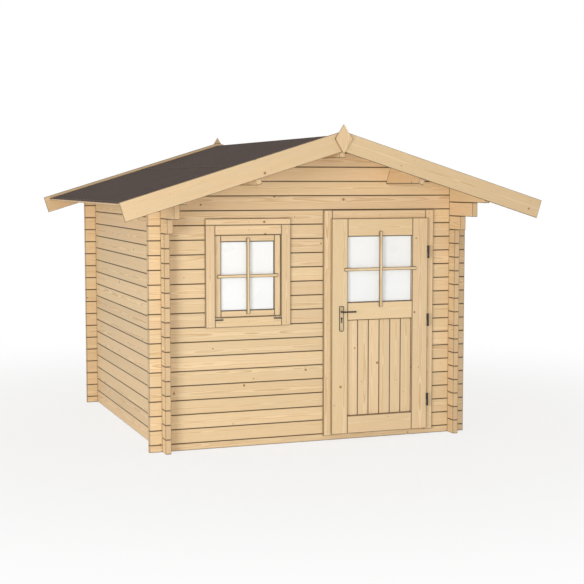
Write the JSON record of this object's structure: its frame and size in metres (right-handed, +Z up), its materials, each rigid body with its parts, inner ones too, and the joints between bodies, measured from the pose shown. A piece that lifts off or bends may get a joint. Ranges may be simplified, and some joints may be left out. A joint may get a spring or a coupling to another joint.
{
  "type": "garden house",
  "caption": "Small log garden house with interlocked corners, a low gabled felt roof reaching forward over the front, a half-glazed door that swings out and a window.",
  "frame": {"origin": "on the ground under the middle of the roof", "axes": "+X to the right seen from the front, +Y to the back, +Z up"},
  "size_m": [3.4136, 3.2732, 2.5141],
  "materials": {
    "log_wood": "untreated spruce logs, planed",
    "board_wood": "untreated spruce boards, planed",
    "trim_wood": "planed trim boards",
    "door_wood": "planed joinery",
    "roofing_felt": "mineral-faced bitumen felt, dark brown-grey",
    "glass": "white satin pane",
    "black_metal": "black coated",
    "plate_metal": "satin"
  },
  "bodies": {
    "house": {"front_sill_log": "log_wood", "front_wall_below_window": "log_wood", "front_wall_left_of_window": "log_wood", "front_wall_between": "log_wood", "front_wall_over_window": "log_wood", "front_wall_right_of_door": "log_wood", "front_gable": "log_wood", "back_wall": "log_wood", "back_gable": "log_wood", "left_wall": "log_wood", "right_wall": "log_wood", "left_corbel_logs": "log_wood", "right_corbel_logs": "log_wood", "left_eaves_purlin": "log_wood", "right_eaves_purlin": "log_wood", "left_mid_purlin": "log_wood", "right_mid_purlin": "log_wood", "ridge_purlin": "log_wood", "left_roof_boards": "board_wood", "right_roof_boards": "board_wood", "floor_boards": "board_wood", "floor_bearers": "board_wood", "front_barge_boards": "trim_wood", "back_barge_boards": "trim_wood", "front_finial": "trim_wood", "back_finial": "trim_wood", "window_frame": "trim_wood", "window_casing": "trim_wood", "window_sash": "trim_wood", "door_frame": "trim_wood", "door_casing": "trim_wood", "door_threshold": "trim_wood", "inside_casings": "trim_wood", "left_felt": "roofing_felt", "right_felt": "roofing_felt", "window_pane": "glass", "window_hinges": "black_metal", "door_hinge_pins": "black_metal"},
    "door": {"door_stiles": "door_wood", "door_rails": "door_wood", "door_panel": "door_wood", "door_pane": "glass", "door_hinge_knuckles": "black_metal", "door_handle_plates": "plate_metal"},
    "lever": {"door_lever": "black_metal"}
  },
  "joints": [
    {"name": "door_swing", "type": "hinge", "parent": "house", "child": "door", "pos_m": [0.993, -1.0496, 0.955], "axis": [0, 0, 1], "range_deg": [0, 140]},
    {"name": "lever_press", "type": "hinge", "parent": "door", "child": "lever", "pos_m": [0.227, -1.0413, 1.046], "axis": [0, 1, 0], "range_deg": [0, 40], "stiffness_Nm_per_rad": 1.5, "springref_deg": -17.19}
  ]
}
